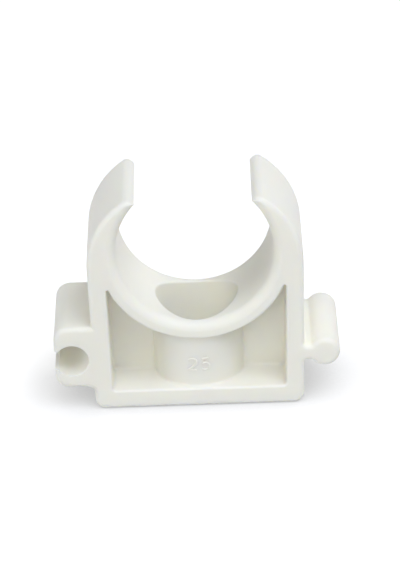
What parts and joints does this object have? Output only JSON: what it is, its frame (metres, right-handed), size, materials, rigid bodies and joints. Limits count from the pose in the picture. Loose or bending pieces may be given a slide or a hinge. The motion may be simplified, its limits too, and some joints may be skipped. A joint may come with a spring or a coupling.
{
  "type": "pipe clip",
  "caption": "Moulded snap-in pipe clip: an open C-shaped seat on a hollow screw-down base, with a side bead and a slotted lug that link neighbouring clips.",
  "frame": {"origin": "axis of the screw hole, on the flat mounting face", "axes": "+Z along the screw hole, away from the wall; +Y along the pipe; +X towards the bead"},
  "size_m": [0.0458, 0.0164, 0.037],
  "materials": {
    "white_plastic": "satin, slightly translucent moulded polypropylene"
  },
  "bodies": {
    "root": {"clip_body": "white_plastic"}
  },
  "joints": []
}
